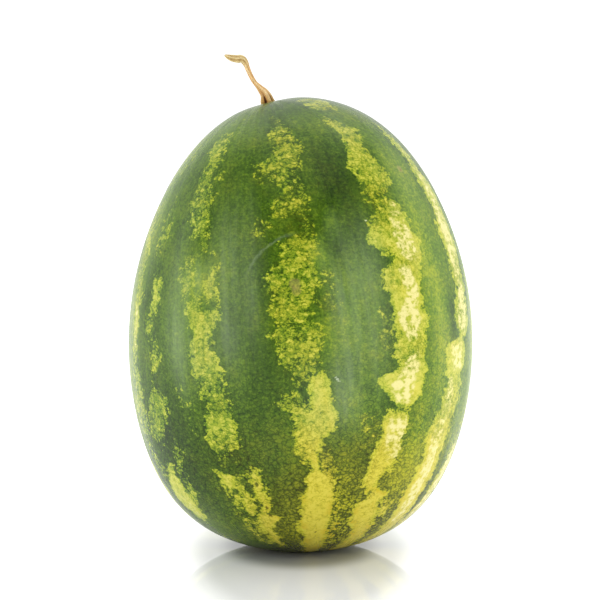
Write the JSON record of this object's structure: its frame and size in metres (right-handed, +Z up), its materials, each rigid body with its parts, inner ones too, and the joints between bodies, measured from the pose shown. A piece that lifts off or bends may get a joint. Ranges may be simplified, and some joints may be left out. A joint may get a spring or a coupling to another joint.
{
  "type": "whole watermelon",
  "caption": "Whole oval watermelon with broken pale stripes on a mottled green rind, standing on a small flat spot at its blossom end, with its dry bent stem.",
  "frame": {"origin": "middle of the flat spot at the blossom end on which the fruit stands", "axes": "+Z up through the crown beside the stem, -Y the front with the middle pale stripe, +X the right-hand side; the stem leans to -X"},
  "size_m": [0.2341, 0.2333, 0.3358],
  "materials": {
    "rind": "smooth waxy rind, mottled dark green with broken yellow-green stripes",
    "dry_stem": "dry, ribbed, light brown"
  },
  "bodies": {
    "root": {"fruit": "rind", "stem": "dry_stem"}
  },
  "joints": []
}
